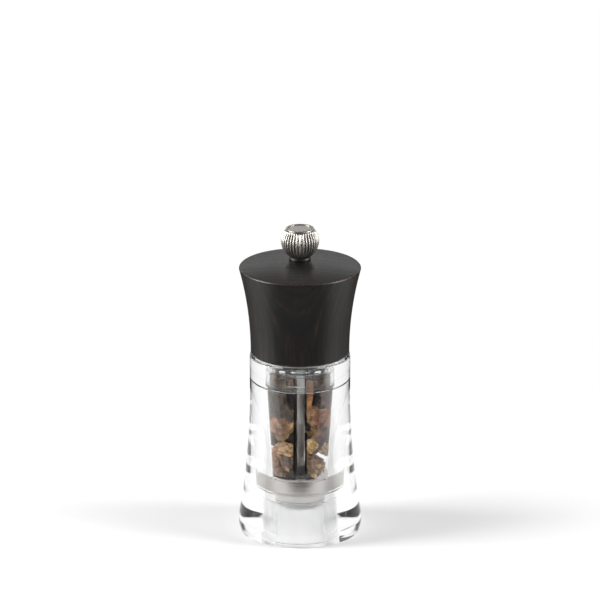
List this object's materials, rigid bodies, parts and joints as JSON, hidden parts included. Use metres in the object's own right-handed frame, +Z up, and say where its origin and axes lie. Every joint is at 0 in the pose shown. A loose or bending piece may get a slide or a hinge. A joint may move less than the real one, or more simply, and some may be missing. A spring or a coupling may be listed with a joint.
{
  "type": "pepper mill",
  "caption": "Hand pepper mill: clear flared body, turned dark wood head, fluted metal knob that sets the grind, square shaft and conical steel grinder.",
  "frame": {"origin": "centre of the foot, on the surface the mill stands on", "axes": "+Z up along the shaft; -Y is the front"},
  "size_m": [0.0548, 0.0548, 0.14],
  "materials": {
    "clear_acrylic": "polished clear acrylic",
    "clear_insert": "clear moulded",
    "stainless_steel": "satin",
    "dark_steel": "case-hardened, dark",
    "shaft_steel": "drawn",
    "spring_steel": "bright wire",
    "knob_steel": "antiqued, brushed",
    "brass": "machined",
    "grey_plastic": "moulded",
    "black_plastic": "moulded",
    "white_plastic": "nylon",
    "stained_wood": "dark stain, satin lacquer",
    "spice": "coarse dried spice"
  },
  "bodies": {
    "mill_body": {"clear_body": "clear_acrylic", "grinder_housing": "stainless_steel", "stator_ring": "dark_steel", "retaining_ring": "stainless_steel", "bottom_bridge": "grey_plastic", "thrust_bush": "brass", "thrust_washer": "stainless_steel", "spice_charge": "spice"},
    "spring_seat": {"spring_seat": "stainless_steel", "grind_spring": "spring_steel"},
    "shaft": {"square_shaft": "shaft_steel", "rotor_burr": "dark_steel", "rotor_pin": "stainless_steel", "tail_clip": "spring_steel"},
    "glide_ring": {"glide_ring": "black_plastic"},
    "head": {"wood_head": "stained_wood", "drive_insert": "clear_insert", "drive_plate": "stainless_steel", "insert_screws": "stainless_steel", "top_ferrule": "black_plastic"},
    "knob_washer": {"knob_washer": "black_plastic"},
    "knob": {"knob_shell": "knob_steel", "knob_core": "brass", "lock_ring": "white_plastic", "knob_cap": "knob_steel"}
  },
  "joints": [
    {"name": "grind_setting", "type": "slide", "parent": "mill_body", "child": "spring_seat", "axis": [0, 0, 1], "range_m": [-0.0008, 0.0012], "deforming": ["grind_spring"]},
    {"name": "shaft_turn", "type": "hinge", "parent": "spring_seat", "child": "shaft", "pos_m": [0, 0, 0.02], "axis": [0, 0, 1], "continuous": true},
    {"name": "head_turn", "type": "hinge", "parent": "mill_body", "child": "glide_ring", "pos_m": [0, 0, 0.082], "axis": [0, 0, 1], "continuous": true},
    {"name": "head_lift", "type": "slide", "parent": "glide_ring", "child": "head", "axis": [0, 0, 1], "range_m": [0, 0.075]},
    {"name": "knob_lift", "type": "slide", "parent": "head", "child": "knob_washer", "axis": [0, 0, 1], "range_m": [0, 0.016]},
    {"name": "knob_turn", "type": "hinge", "parent": "knob_washer", "child": "knob", "pos_m": [0, 0, 0.134], "axis": [0, 0, 1], "range_deg": [-540, 360]}
  ],
  "couplings": [
    {"joint": "shaft_turn", "follows": "head_turn", "ratio": 1},
    {"joint": "grind_setting", "follows": "knob_turn", "m_per_rad": -0.00012732}
  ]
}
